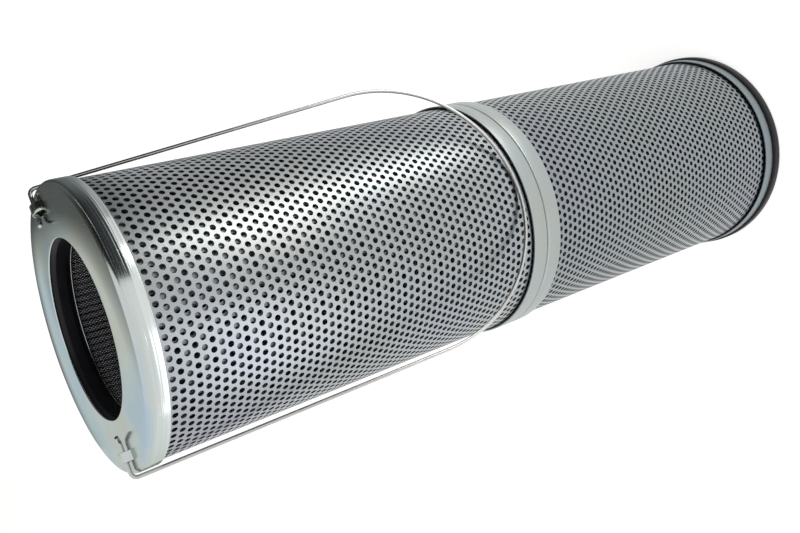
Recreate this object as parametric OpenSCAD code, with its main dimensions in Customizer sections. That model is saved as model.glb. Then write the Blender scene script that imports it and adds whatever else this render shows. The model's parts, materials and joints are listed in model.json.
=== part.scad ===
// Two-section return line filter element, standing on its seal, with a wire bail on top.
// Millimetres, +Z up. The origin is the middle of the face that it stands on.
// Each section is a pleated pack between two channel caps, inside two perforated tubes.
// Oil enters through the open middle and leaves through the tubes.

/* [Overall] */
// Outer diameter of the end caps
cap_od = 143; // [120:1:175]
// Length of the upper section, from the top face to the joint line
upper_len = 240.5; // [200:0.5:300]
// Length of the lower section, from the joint line to the bottom plate
lower_len = 237.5; // [200:0.5:300]

/* [Caps] */
// Thickness of the cap sheet
cap_t = 1.0; // [0.8:0.1:1.2]
// Inner diameter of the drawn collar inside each cap
collar_id = 92; // [76:0.5:111]
// Width of the lip that the top and bottom plates leave inside the collar
opening_lip = 1.5; // [1:0.1:3]
// Depth of the drawn collar, from the outside of the plate
collar_depth = 11.5; // [10:0.5:14]
// Width of the rim of the top cap and of both joint caps
rim_w = 10.6; // [9:0.1:13]
// Width of the rim of the bottom cap
bottom_rim_w = 9.0; // [8:0.1:13]
// Outer radius at the edge of the top cap
top_edge_r = 2.5; // [1.6:0.1:3]
// Outer radius at the edge of the other caps
plain_edge_r = 1.2; // [1.2:0.1:3]
// Width of the lip that is turned in at the end of the collar of the top and bottom caps
collar_curl = 1.1; // [0.9:0.1:1.4]
// Height of that lip
collar_curl_h = 0.6; // [0.4:0.1:1]

/* [Perforated tubes] */
// Radial gap between the rim of a cap and the outer jacket in it
rim_gap = 0.8; // [0.5:0.1:2]
// Sheet thickness of the outer jackets
jacket_t = 0.8; // [0.6:0.1:1]
// Sheet thickness of the support tubes under them
support_t = 0.8; // [0.6:0.1:1]
// Radial gap between a jacket and its support tube
tube_gap = 0.6; // [0.4:0.1:1]
// Depth at which the tubes end inside a cap, from the outside of its plate
tube_depth = 4.5; // [3.5:0.5:7]

/* [Pleated pack] */
// Number of pleats
pleats = 88; // [60:1:96]
// Thickness of the filter medium
media_t = 0.6; // [0.4:0.1:0.7]
// Thickness of the woven mesh on each side of the medium
mesh_t = 0.25; // [0.15:0.05:0.3]
// Gap between one layer of the pack and the next
layer_gap = 0.05; // [0.05:0.01:0.1]
// Half width of the gap left inside an inner fold
fold_in_gap = 0.15; // [0.1:0.05:0.3]
// Half width of the gap left inside an outer fold
fold_out_gap = 0.3; // [0.1:0.05:0.6]
// Gap between the pack and the support tube
pack_gap = 0.4; // [0.2:0.1:1]

/* [Seals] */
// Wall of the rubber seal in the top opening, at its straight part
bore_seal_t = 1.95; // [1.5:0.05:6]
// Wall of that seal at its two ends
bore_seal_edge = 0.8; // [0.5:0.1:1.5]
// Length of the straight part of that seal's inner face
bore_seal_land = 5; // [3:0.5:6]
// Distance that the rubber ring stands out past the caps
ring_proud = 1.4; // [1:0.1:4]
// Width of the rubber ring
ring_w = 12.9; // [8:0.1:16]
// Height of the rubber ring
ring_h = 7; // [6:0.5:12]
// Radius at the outer edges of the rubber ring
ring_edge_r = 1.5; // [0.5:0.1:2.5]

/* [Bail] */
// Diameter of the bail wire
wire_d = 2.0; // [1.6:0.1:2.2]
// Gap between a bail leg and the rim of the top cap
leg_gap = 0.5; // [0.4:0.1:1.5]
// Height at which the middle of the wire rests above the rim of the joint caps
bail_over_rim = 4.3; // [2:0.1:60]
// Bend radius of the wire where a leg turns in to its ear, on the middle of the wire
corner_r = 3; // [2.6:0.1:4]
// Bend radius of the wire tips, on the middle of the wire
tip_r = 3; // [2:0.1:4]
// Angle that each tip is bent through
tip_bend = 60; // [40:1:75]
// Length of the straight end of each tip
tip_end = 3.2; // [2:0.1:4]
// Angle of the tips above the face when the bail is down
tip_rise = 22.5; // [15:0.5:24]
// Gap between the wire at rest and the jacket
bail_rest_gap = 0.3; // [0.3:0.1:2]

/* [Ears] */
// Distance from the outside of the top cap to the middle of each ear
ear_inset = 9; // [7:0.5:10]
// Radial width of each ear
ear_w = 5; // [4:0.5:6]
// Half length of each ear, along the plate
ear_half = 6.5; // [6:0.1:8]
// Gap between the wire and the plate under it
wire_lift = 0.7; // [0.6:0.1:1.2]
// Gap between the wire and the inside of an ear
ear_gap = 0.2; // [0.1:0.05:0.4]
// Length of plate between the foot of an ear and the slot under it
ear_foot = 0.3; // [0.1:0.1:1]

/* [Hidden] */
$fn = 96;

// Clearance that the adhesive fills between bonded round faces
bond = 0.05;
// Radius of the ball that joins two lengths of the wire, a hair over the wire's own
wire_joint_r = 1.02 * wire_d / 2;

// Heights of the plates
bottom_z = ring_h;
joint_z = bottom_z + lower_len;
top_z = joint_z + upper_len;

// Heights between which the tubes and the packs of each section run
upper_tube = [joint_z + tube_depth, top_z - tube_depth];
lower_tube = [bottom_z + tube_depth, joint_z - tube_depth];
upper_pack = [joint_z + collar_depth, top_z - collar_depth];
lower_pack = [bottom_z + collar_depth, joint_z - collar_depth];

// Radii, from the outside in
cap_r = cap_od / 2;
jacket_r = cap_r - cap_t - rim_gap;
support_r = jacket_r - jacket_t - tube_gap;
pack_r = support_r - support_t - pack_gap;
collar_r = collar_id / 2;
opening_r = collar_r - opening_lip;
potting_step_r = support_r - support_t - pack_gap / 2;

// Half thickness of the whole pleated pack, with the half width and radius of its folds,
// measured at mid thickness
pack_half = media_t / 2 + layer_gap + mesh_t;
fold_in = pack_half + fold_in_gap;
fold_out = pack_half + fold_out_gap;
fold_out_r = pack_r - pack_half;
fold_in_r = collar_r + bond + pack_half;

// The bail: its hinge line above the top face, the distance of its legs, and the place of
// its far end when it is down, which gives its reach and how far it leans out
wire_r = wire_d / 2;
hinge_h = wire_lift + wire_r;
leg_y = cap_r + leg_gap + wire_r;
rest_out = jacket_r + bail_rest_gap + wire_r;
rest_drop = upper_len + hinge_h - rim_w - bail_over_rim;
bail_reach = norm([rest_out, rest_drop]);
bail_down = atan2(rest_out, rest_drop);

// The ears: an arch of sheet over the wire
ear_at = cap_r - ear_inset;
ear_top = hinge_h + wire_r + ear_gap + cap_t;
ear_arc_r = (ear_half * ear_half + ear_top * ear_top) / (2 * ear_top);
ear_slot_half = sqrt(pow(ear_arc_r - cap_t, 2) - pow(ear_arc_r - ear_top, 2)) - ear_foot;

// Colours, as the photograph shows them
zinc = [0.72, 0.75, 0.76];
zinc_pale = [0.80, 0.81, 0.79];
steel_wire = [0.58, 0.58, 0.58];
black_rubber = [0.09, 0.09, 0.10];
black_mesh = [0.13, 0.13, 0.14];
medium_white = [0.90, 0.89, 0.84];
resin = [0.25, 0.25, 0.27];

// Half section of a disc with a rounded upper outer edge, its top at y = 0
module rounded_half_disc(r, depth, edge) {
    translate([0, -depth]) square([r - edge, depth]);
    translate([0, -depth]) square([r, depth - edge]);
    translate([r - edge, -edge]) circle(edge);
}

// Half section of a channel cap: plate, outer rim and inner collar, in sheet cap_t, with the
// end of the collar turned in by the width curl
module channel_section(hole_r, rim, edge, curl = 0) {
    difference() {
        rounded_half_disc(cap_r, rim, edge);
        translate([0, -cap_t]) rounded_half_disc(cap_r - cap_t, rim, max(edge - cap_t, 0.1));
        translate([0, -rim]) square([hole_r, 2 * rim]);
    }
    translate([collar_r, -collar_depth]) square([cap_t, collar_depth - cap_t / 2]);
    if (curl > 0)
        translate([collar_r - curl, -collar_depth]) square([curl + cap_t / 2, collar_curl_h]);
}

// Resin ring that fills a cap: thick under the pack, thin under the two tubes
module potting_section(edge) {
    difference() {
        translate([0, -cap_t])
            rounded_half_disc(cap_r - cap_t - bond, collar_depth - cap_t, max(edge - cap_t, 0.1));
        translate([potting_step_r, -collar_depth - 1])
            square([cap_r, collar_depth - tube_depth + 1]);
        translate([0, -collar_depth - 1]) square([collar_r + cap_t + bond, collar_depth + 1]);
    }
}

// Places a cap's section at height z, its plate facing up or down
module at_plate(z, up) {
    translate([0, 0, z])
        mirror([0, 0, up ? 0 : 1])
            rotate_extrude()
                children();
}

// Corner points of a pleated outline that lies the distance d outside the middle of the pack
function arc_point(r, across, middle) =
    let (turn = middle + asin(across / r)) [r * cos(turn), r * sin(turn)];
function pleat_points(d) = [
    for (k = [0 : pleats - 1], corner = [0 : 3])
        let (peak = k * 360 / pleats, valley = peak + 180 / pleats)
            corner == 0 ? arc_point(fold_out_r + d, -fold_out - d, peak)
            : corner == 1 ? arc_point(fold_out_r + d, fold_out + d, peak)
            : corner == 2 ? arc_point(fold_in_r + d, -fold_in + d, valley)
            : arc_point(fold_in_r + d, fold_in - d, valley)
];

// One layer of the pleated pack, between the distances d0 and d1 from its middle
module pleat_layer(d0, d1, z0, z1) {
    translate([0, 0, z0])
        linear_extrude(z1 - z0)
            difference() {
                polygon(pleat_points(d1));
                polygon(pleat_points(d0));
            }
}

module inner_mesh(z0, z1) {
    color(black_mesh) pleat_layer(-pack_half, -pack_half + mesh_t, z0, z1);
}

module media(z0, z1) {
    color(medium_white) pleat_layer(-media_t / 2, media_t / 2, z0, z1);
}

module outer_mesh(z0, z1) {
    color(black_mesh) pleat_layer(pack_half - mesh_t, pack_half, z0, z1);
}

module tube(r, t, z0, z1) {
    translate([0, 0, z0])
        difference() {
            cylinder(h = z1 - z0, r = r);
            translate([0, 0, -1]) cylinder(h = z1 - z0 + 2, r = r - t);
        }
}

// A sheet arch over the wire, standing on the top plate, on the side +Y or -Y
module ear(side) {
    translate([0, side * ear_at, top_z])
        rotate([90, 0, 0])
            linear_extrude(ear_w, center = true)
                difference() {
                    translate([0, ear_top - ear_arc_r]) circle(ear_arc_r);
                    translate([0, ear_top - ear_arc_r]) circle(ear_arc_r - cap_t);
                    translate([-2 * ear_arc_r, -4 * ear_arc_r - cap_t / 2])
                        square(4 * ear_arc_r);
                }
}

// The slot that the arch was raised from
module ear_slot(side) {
    translate([-ear_slot_half, side * ear_at - ear_w / 2, top_z - 2 * cap_t])
        cube([2 * ear_slot_half, ear_w, 3 * cap_t]);
}

module top_end_cap() {
    color(zinc) {
        difference() {
            at_plate(top_z, true)
                channel_section(opening_r, rim_w, top_edge_r, collar_curl);
            for (side = [-1, 1]) ear_slot(side);
        }
        for (side = [-1, 1]) ear(side);
    }
}

// Rubber sleeve in the collar, held between the lip of the plate and the collar's turned end
module top_bore_seal() {
    outer_r = collar_r - bond;
    inner_r = outer_r - bore_seal_t;
    length = collar_depth - cap_t - collar_curl_h - bond;
    slope = (length - bore_seal_land) / 2;
    back_r = outer_r - bore_seal_edge;
    color(black_rubber)
        translate([0, 0, top_z - cap_t - length])
            rotate_extrude()
                polygon([
                    [outer_r, 0], [outer_r, length], [back_r, length],
                    [inner_r, length - slope], [inner_r, slope], [back_r, 0]
                ]);
}

module top_potting() {
    color(resin) at_plate(top_z, true) potting_section(top_edge_r);
}

module upper_outer_jacket() {
    color(zinc) tube(jacket_r, jacket_t, upper_tube[0], upper_tube[1]);
}

module upper_support_tube() {
    color(zinc) tube(support_r, support_t, upper_tube[0], upper_tube[1]);
}

module upper_inner_mesh() { inner_mesh(upper_pack[0], upper_pack[1]); }
module upper_media() { media(upper_pack[0], upper_pack[1]); }
module upper_outer_mesh() { outer_mesh(upper_pack[0], upper_pack[1]); }

module upper_joint_potting() {
    color(resin) at_plate(joint_z, false) potting_section(plain_edge_r);
}

module upper_joint_cap() {
    color(zinc_pale) at_plate(joint_z, false) channel_section(collar_r, rim_w, plain_edge_r);
}

// Short tube bonded in both joint collars, which holds the two sections together
module joint_sleeve() {
    color(zinc)
        tube(collar_r - bond, cap_t, joint_z - collar_depth, joint_z + collar_depth);
}

module lower_joint_cap() {
    color(zinc_pale) at_plate(joint_z, true) channel_section(collar_r, rim_w, plain_edge_r);
}

module lower_joint_potting() {
    color(resin) at_plate(joint_z, true) potting_section(plain_edge_r);
}

module lower_outer_jacket() {
    color(zinc) tube(jacket_r, jacket_t, lower_tube[0], lower_tube[1]);
}

module lower_support_tube() {
    color(zinc) tube(support_r, support_t, lower_tube[0], lower_tube[1]);
}

module lower_inner_mesh() { inner_mesh(lower_pack[0], lower_pack[1]); }
module lower_media() { media(lower_pack[0], lower_pack[1]); }
module lower_outer_mesh() { outer_mesh(lower_pack[0], lower_pack[1]); }

module bottom_potting() {
    color(resin) at_plate(bottom_z, false) potting_section(plain_edge_r);
}

module bottom_end_cap() {
    color(zinc_pale)
        at_plate(bottom_z, false)
            channel_section(opening_r, bottom_rim_w, plain_edge_r, collar_curl);
}

// Rubber ring bonded under the bottom plate
module bottom_seal_ring() {
    outer_r = cap_r + ring_proud;
    inner_r = outer_r - ring_w;
    color(black_rubber)
        rotate_extrude() {
            translate([inner_r, 0]) square([outer_r - ring_edge_r - inner_r, ring_h]);
            translate([inner_r, ring_edge_r])
                square([outer_r - inner_r, ring_h - 2 * ring_edge_r]);
            for (y = [ring_edge_r, ring_h - ring_edge_r])
                translate([outer_r - ring_edge_r, y]) circle(ring_edge_r);
        }
}

// A bend of the wire in the plane x = 0: from the point [0, y, 0], running in the direction -Y,
// it turns through the angle towards -Z
module wire_bend(y, bend_r, angle) {
    translate([0, y, -bend_r])
        rotate([180, -90, 0])
            rotate_extrude(angle = angle)
                translate([bend_r, 0]) circle(wire_r);
}

// One side of the bail, +Y, with its leg along -Z and its tip bent off to one side
module bail_side() {
    leg_end = bail_reach - leg_y;
    corner_y = leg_y - corner_r;
    tip_y = ear_at - ear_w / 2 - tip_r;
    translate([0, leg_y, -leg_end]) cylinder(h = leg_end - corner_r, r = wire_r);
    translate([0, 2 * corner_y, 0]) mirror([0, 1, 0]) wire_bend(corner_y, corner_r, 90);
    translate([0, tip_y, 0]) rotate([-90, 0, 0]) cylinder(h = corner_y - tip_y, r = wire_r);
    translate([0, tip_y, 0]) sphere(wire_joint_r);
    rotate([0, bail_down - 90 - tip_rise, 0]) {
        wire_bend(tip_y, tip_r, tip_bend);
        translate([0, tip_y - tip_r * sin(tip_bend), tip_r * (cos(tip_bend) - 1)]) {
            sphere(wire_joint_r);
            rotate([90 + tip_bend, 0, 0]) cylinder(h = tip_end, r = wire_r);
        }
    }
}

module bail_handle() {
    color(steel_wire)
        translate([0, 0, top_z + hinge_h])
            rotate([0, -bail_down, 0]) {
                for (side = [0, 1]) mirror([0, side, 0]) bail_side();
                translate([0, 0, leg_y - bail_reach])
                    rotate([0, 90, 0])
                        rotate([0, 0, -90])
                            rotate_extrude(angle = 180)
                                translate([leg_y, 0]) circle(wire_r);
            }
}

top_end_cap();
top_bore_seal();
top_potting();
upper_outer_jacket();
upper_support_tube();
upper_inner_mesh();
upper_media();
upper_outer_mesh();
upper_joint_potting();
upper_joint_cap();
joint_sleeve();
lower_joint_cap();
lower_joint_potting();
lower_outer_jacket();
lower_support_tube();
lower_inner_mesh();
lower_media();
lower_outer_mesh();
bottom_potting();
bottom_end_cap();
bottom_seal_ring();
bail_handle();
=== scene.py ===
import json
import math

import bmesh
import bpy
import numpy as np
from mathutils import Matrix, Vector


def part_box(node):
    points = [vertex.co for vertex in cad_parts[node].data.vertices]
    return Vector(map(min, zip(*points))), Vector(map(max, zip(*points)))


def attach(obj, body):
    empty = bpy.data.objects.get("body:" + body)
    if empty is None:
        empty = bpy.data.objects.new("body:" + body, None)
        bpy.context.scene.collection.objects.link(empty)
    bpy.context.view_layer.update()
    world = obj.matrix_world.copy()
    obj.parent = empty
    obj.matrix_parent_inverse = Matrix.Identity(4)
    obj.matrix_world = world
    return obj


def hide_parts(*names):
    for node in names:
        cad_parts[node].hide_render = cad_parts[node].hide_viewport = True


# Two-section filter element in perforated zinc-plated sheet, on end, with its wire bail down.
# Metres, +Z up. Heights and radii come from the frame; what the frame can't tell is in mm
# in the dictionary beside the piece.

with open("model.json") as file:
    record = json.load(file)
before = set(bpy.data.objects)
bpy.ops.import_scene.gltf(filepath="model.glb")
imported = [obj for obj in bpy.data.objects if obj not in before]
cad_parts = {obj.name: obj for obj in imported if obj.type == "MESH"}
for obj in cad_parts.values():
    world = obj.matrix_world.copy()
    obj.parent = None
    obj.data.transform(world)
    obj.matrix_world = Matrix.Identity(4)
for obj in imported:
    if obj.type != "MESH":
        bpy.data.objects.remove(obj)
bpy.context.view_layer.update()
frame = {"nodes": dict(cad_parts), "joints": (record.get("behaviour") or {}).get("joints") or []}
mm = 0.001

boxOf = {name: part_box(name) for name in frame["nodes"]}
element = {
    "sheet": 1.0 * mm,  # cap sheet
    "capRadius": boxOf["upper_joint_cap"][1].x,
    "jacketRadius": boxOf["upper_outer_jacket"][1].x,
    "supportRadius": boxOf["upper_support_tube"][1].x,
    "standFace": boxOf["bottom_end_cap"][0].z,
    "jointLine": boxOf["upper_joint_cap"][0].z,
    "collarDepth": boxOf["joint_sleeve"][1].z - boxOf["upper_joint_cap"][0].z,
}
element["topFace"] = boxOf["top_potting"][1].z + element["sheet"]
print("frame loaded, top face at", round(element["topFace"] / mm, 2), "mm")


# Small helpers

def linearColour(hexText):
    # sRGB hex to the linear colour that a shader wants
    parts = [int(hexText[i:i + 2], 16) / 255 for i in (1, 3, 5)]
    return [p / 12.92 if p <= 0.04045 else ((p + 0.055) / 1.055) ** 2.4 for p in parts] + [1.0]


def addNode(tree, kind, inputs=None, **settings):
    # inputs take a node, a socket or a plain value
    node = tree.nodes.new(kind)
    for name, value in settings.items():
        setattr(node, name, value)
    for socket, value in (inputs or {}).items():
        if isinstance(value, bpy.types.Node):
            value = value.outputs[0]
        if isinstance(value, bpy.types.NodeSocket):
            tree.links.new(value, node.inputs[socket])
        else:
            node.inputs[socket].default_value = value
    return node


def addChain(tree, known, kind, rows):
    # a node for each row: its name, its operation and what goes in, by known name or as a number
    for name, operation, *parts in rows:
        inputs = {i: known.get(part, part) for i, part in enumerate(parts)}
        known[name] = addNode(tree, kind, inputs, operation=operation)


def newMaterial(name):
    material = bpy.data.materials.new(name)
    material.use_nodes = True
    material.node_tree.nodes.clear()
    return material, material.node_tree


def endMaterial(tree, shader):
    addNode(tree, "ShaderNodeOutputMaterial", {"Surface": shader})


def newObject(name, data):
    thing = bpy.data.objects.new(name, data)
    bpy.context.scene.collection.objects.link(thing)
    return thing


def meshFrom(build, name):
    mesh = bpy.data.meshes.new(name)
    build.to_mesh(mesh)
    build.free()
    return mesh


def skinRings(build, rings):
    # a skin over rings with the same number of corners, closed at both ends
    for a, b in zip(rings, rings[1:]):
        for k in range(len(a)):
            n = (k + 1) % len(a)
            build.faces.new((a[k], a[n], b[n], b[k]))
    build.faces.new(rings[0][::-1])
    build.faces.new(rings[-1])
    bmesh.ops.recalc_face_normals(build, faces=build.faces)


def evaluatedMesh(holder, name):
    # the result of the holder's modifiers as a plain mesh; the holder goes
    graph = bpy.context.evaluated_depsgraph_get()
    mesh = bpy.data.meshes.new_from_object(holder.evaluated_get(graph), depsgraph=graph)
    mesh.name = name
    bpy.data.objects.remove(holder)
    return mesh


def smoothMesh(mesh, angle=32):
    mesh.polygons.foreach_set("use_smooth", [True] * len(mesh.polygons))
    mesh.set_sharp_from_angle(angle=math.radians(angle))


def newPiece(name, mesh, material, body, nodes):
    # a finished mesh becomes a piece of the object
    piece = newObject(name, mesh)
    if material.name not in mesh.materials:
        mesh.materials.append(material)
    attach(piece, body)
    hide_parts(*nodes)


def roundCorners(corners, arcSteps=5):
    # closed outline from (x, y, radius) corners, each corner an arc
    points = []
    for i, (x, y, radius) in enumerate(corners):
        here = Vector((x, y))
        back = Vector(corners[i - 1][:2]) - here
        ahead = Vector(corners[(i + 1) % len(corners)][:2]) - here
        half = back.angle(ahead) / 2
        run = radius / math.tan(half)
        middle = here + (back.normalized() + ahead.normalized()).normalized() * (radius / math.sin(half))
        start = here + back.normalized() * run - middle
        turn = start.angle_signed(here + ahead.normalized() * run - middle)
        for k in range(arcSteps + 1):
            angle = -turn * k / arcSteps
            points.append(middle + Vector((
                start.x * math.cos(angle) - start.y * math.sin(angle),
                start.x * math.sin(angle) + start.y * math.cos(angle))))
    return points


def latheMesh(name, outline, segments=144):
    # outline: closed, anticlockwise with the radius to the right, turned about Z
    count = len(outline)
    verts = []
    for j in range(segments):
        angle = 2 * math.pi * j / segments
        verts += [(p.x * math.cos(angle), p.x * math.sin(angle), p.y) for p in outline]
    faces = []
    for j in range(segments):
        a, b = j * count, (j + 1) % segments * count
        faces += [(a + i, b + i, b + (i + 1) % count, a + (i + 1) % count) for i in range(count)]
    mesh = bpy.data.meshes.new(name)
    mesh.from_pydata(verts, [], faces)
    smoothMesh(mesh)
    return mesh


# Materials; a size is that of the pattern, a depth is its relief over that size

noiseRange = {1: 0.3, 2: 0.7}  # most of a noise texture's values lie between these
plating = {
    "stops": (0.36, 0.51, 0.66),  # the film's three colours lie at these values of its noise
    "flatFrom": 0.8,  # Z of the normal from which a face counts as flat
    "even": 0.5,  # stands in for the noise where the film is even or the sheet unlined
    "lineDepth": 0.12,  # depth of a drawn line over its width
}


def mottle(tree, look):
    # noise through the piece, and the colour that drifts with it from the first to the second
    place = addNode(tree, "ShaderNodeTexCoord").outputs["Object"]
    detail, roughness = look["noise"]
    noise = addNode(tree, "ShaderNodeTexNoise", {"Vector": place, "Scale": 1 / look["size"],
                                                 "Detail": detail, "Roughness": roughness})
    tint = addNode(tree, "ShaderNodeMix", {0: noise, 6: linearColour(look["colours"][0]),
                                           7: linearColour(look["colours"][1])}, data_type="RGBA")
    return noise, tint.outputs[2]


def streakField(tree, width, length):
    # noise drawn out along the turning direction of a round piece: fine across, long around
    place = addNode(tree, "ShaderNodeTexCoord").outputs["Object"]
    parts = addNode(tree, "ShaderNodeSeparateXYZ", {0: place}).outputs
    flat = addNode(tree, "ShaderNodeCombineXYZ", {"X": parts["X"], "Y": parts["Y"]})
    radius = addNode(tree, "ShaderNodeVectorMath", {0: flat}, operation="LENGTH").outputs["Value"]
    known = {"x": parts["X"], "y": parts["Y"], "z": parts["Z"], "radius": radius}
    addChain(tree, known, "ShaderNodeMath", (
        ("across", "SUBTRACT", "radius", "z"),
        ("long x", "MULTIPLY", "x", 1 / length),
        ("long y", "MULTIPLY", "y", 1 / length),
        ("fine", "MULTIPLY", "across", 1 / width)))
    warped = addNode(tree, "ShaderNodeCombineXYZ", {"X": known["long x"], "Y": known["long y"],
                                                    "Z": known["fine"]})
    return addNode(tree, "ShaderNodeTexNoise", {"Vector": warped, "Scale": 1.0, "Detail": 2.0,
                                                "Roughness": 0.6})


def zincPlate(name, look):
    # Zinc-plated steel sheet with a thin clear passivation: metal, with a faint drift of
    # colour from the film, and hair lines that run round the piece from drawing and rolling.
    material, tree = newMaterial(name)
    coordinates = addNode(tree, "ShaderNodeTexCoord").outputs
    place = coordinates["Object"]
    film = addNode(tree, "ShaderNodeTexNoise", {"Vector": place, "Scale": 1 / look["filmSize"],
                                                "Detail": 2.0, "Roughness": 0.5})
    # only the drawn walls are lined, the flat faces keep the smooth mill finish
    facing = addNode(tree, "ShaderNodeSeparateXYZ", {0: coordinates["Normal"]}).outputs["Z"]
    flatness = addNode(tree, "ShaderNodeMath", {0: facing}, operation="ABSOLUTE")
    drawn = addNode(tree, "ShaderNodeMapRange", {0: flatness, 1: 0.0, 2: plating["flatFrom"],
                                                 3: 1.0, 4: 0.0})
    if "filmSlope" in look:
        # a flat face's film value rises along the given direction, so its colour drifts across it; a wall
        # keeps an even one
        sloped = addNode(tree, "ShaderNodeVectorMath", {0: place, 1: look["filmSlope"]},
                          operation="DOT_PRODUCT")
        depth = addNode(tree, "ShaderNodeMath", {0: film, 1: sloped.outputs["Value"]}, operation="ADD")
        film = addNode(tree, "ShaderNodeMix", {0: drawn, 2: depth, 3: plating["even"]})
    ramp = addNode(tree, "ShaderNodeValToRGB", {0: film})
    stops = ramp.color_ramp.elements
    stops[0].position = plating["stops"][0]
    stops[1].position = plating["stops"][2]
    stops.new(plating["stops"][1])
    for stop, colour in zip(stops, look["film"]):
        stop.color = linearColour(colour)
    streaks = streakField(tree, look["streakWidth"], look["streakLength"])
    lines = addNode(tree, "ShaderNodeMix", {0: drawn, 2: plating["even"], 3: streaks})
    shade = addNode(tree, "ShaderNodeMapRange", {
        0: lines, **noiseRange, 3: 1 - look["streakShade"], 4: 1 + look["streakShade"]})
    tint = addNode(tree, "ShaderNodeMix", {0: 1.0, 6: ramp.outputs[0], 7: shade},
                   data_type="RGBA", blend_type="MULTIPLY")
    rough = addNode(tree, "ShaderNodeMapRange", {
        0: lines, **noiseRange, 3: look["rough"][0], 4: look["rough"][1]})
    bump = addNode(tree, "ShaderNodeBump", {"Height": lines, "Strength": look["bump"],
                                            "Distance": look["streakWidth"] * plating["lineDepth"]})
    shader = addNode(tree, "ShaderNodeBsdfPrincipled", {
        "Base Color": tint.outputs[2], "Metallic": 1.0, "Roughness": rough, "Normal": bump,
        "Anisotropic": look["anisotropy"], "Specular Tint": linearColour(look["glance"]),
        "Tangent": addNode(tree, "ShaderNodeTangent", direction_type="RADIAL", axis="Z")})
    endMaterial(tree, shader)
    return material


def mouldedRubber(name, look):
    # Moulded black nitrile rubber: near black, a soft sheen, a faint bloom in patches.
    material, tree = newMaterial(name)
    bloom, tint = mottle(tree, look)
    rough = addNode(tree, "ShaderNodeMapRange", {
        0: bloom, **noiseRange, 3: look["rough"][0], 4: look["rough"][1]})
    place = addNode(tree, "ShaderNodeTexCoord").outputs["Object"]
    grain = addNode(tree, "ShaderNodeTexNoise", {"Vector": place, "Scale": 1 / look["grain"]})
    bump = addNode(tree, "ShaderNodeBump", {"Height": grain, "Strength": look["bump"],
                                            "Distance": look["grain"] * look["depth"]})
    shader = addNode(tree, "ShaderNodeBsdfPrincipled", {
        "Base Color": tint, "Roughness": rough, "Normal": bump, "IOR": 1.52,
        "Specular IOR Level": look["sheen"]})
    endMaterial(tree, shader)
    return material


def weaveWithPaintedCrowns(name, look):
    # Woven steel wire with a black epoxy coat: the wire crowns are painted near white in rows of dashes, a
    # painted highlight, the gaps between the wires stay black. Reads the UV map, in metres along the cloth.
    material, tree = newMaterial(name)
    cloth = addNode(tree, "ShaderNodeSeparateXYZ", {0: addNode(tree, "ShaderNodeUVMap")}).outputs
    known = {"along": cloth["X"], "up": cloth["Y"]}
    addChain(tree, known, "ShaderNodeMath", (
        ("warp turn", "MULTIPLY", "along", 2 * math.pi / look["warpPitch"]),
        ("warp", "SINE", "warp turn"),
        ("weft turn", "MULTIPLY", "up", 2 * math.pi / look["weftPitch"]),
        ("weft", "SINE", "weft turn"),
        ("crown", "MULTIPLY", "warp", "weft")))
    height = addNode(tree, "ShaderNodeMapRange", {
        0: known["crown"], 1: look["crownFrom"], 2: look["crownTo"], 3: 0.0, 4: 1.0})
    tint = addNode(tree, "ShaderNodeMix", {0: height, 6: linearColour(look["colours"][0]),
                                           7: linearColour(look["colours"][1])}, data_type="RGBA")
    bump = addNode(tree, "ShaderNodeBump", {"Height": height, "Strength": 1.0,
                                            "Distance": look["weftPitch"] * look["depth"]})
    shader = addNode(tree, "ShaderNodeBsdfPrincipled", {
        "Base Color": tint.outputs[2], "Roughness": look["rough"], "Normal": bump, "IOR": 1.55})
    endMaterial(tree, shader)
    return material


def drawnWire(name, look):
    # Bright drawn steel wire: metal, a little duller than the caps, with a faint drift of shade.
    material, tree = newMaterial(name)
    drift, tint = mottle(tree, look)
    rough = addNode(tree, "ShaderNodeMapRange", {
        0: drift, **noiseRange, 3: look["rough"][0], 4: look["rough"][1]})
    shader = addNode(tree, "ShaderNodeBsdfPrincipled", {
        "Base Color": tint, "Metallic": 1.0, "Roughness": rough})
    endMaterial(tree, shader)
    return material


def roughFill(name, look):
    # what fills the inside: one noise gives both the drift of colour and the relief
    material, tree = newMaterial(name)
    noise, tint = mottle(tree, look)
    bump = addNode(tree, "ShaderNodeBump", {"Height": noise, "Strength": look["bump"],
                                            "Distance": look["size"] * look["depth"]})
    shader = addNode(tree, "ShaderNodeBsdfPrincipled", {
        "Base Color": tint, "Roughness": look["rough"], "Normal": bump, "IOR": 1.5})
    endMaterial(tree, shader)
    return material


plainPressing = {
    "glance": "#ffffff", "filmSize": 60 * mm, "streakWidth": 0.8 * mm, "streakLength": 50 * mm,
    "streakShade": 0.03, "rough": (0.36, 0.44), "bump": 0.15, "anisotropy": 0.5,
}
rolledSheet = {
    "glance": "#ffffff", "filmSize": 90 * mm, "streakWidth": 0.5 * mm, "streakLength": 25 * mm,
    "streakShade": 0.03, "rough": (0.29, 0.35), "bump": 0.12, "anisotropy": 0.6,
}
capZinc = zincPlate("capZincPlate", {
    "film": ("#c4c4b9", "#c2c9c8", "#b0c2ce"), "glance": "#d9e0dc", "filmSize": 42 * mm,
    "filmSlope": (-1.2, -1.6, -0.08),  # how much the film's value rises for each metre along X, Y and Z
    "streakWidth": 1.4 * mm, "streakLength": 90 * mm, "streakShade": 0.1,
    "rough": (0.08, 0.2), "bump": 0.6, "anisotropy": 0.6})
bandZinc = zincPlate("bandZincPlate", {**plainPressing, "film": ("#a2a5a0", "#a2a8a7", "#a0a8ae")})
# the bottom cap's film is the joint caps' one made darker: painted shade at the foot of the element
shadedBottomZinc = zincPlate("shadedBottomZincPlate", {**plainPressing, "film": ("#868f90", "#889194", "#858f94")})
jacketZinc = zincPlate("perforatedZincSheet", {**rolledSheet, "film": ("#979a9b", "#999ea1", "#999ca4")})
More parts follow.
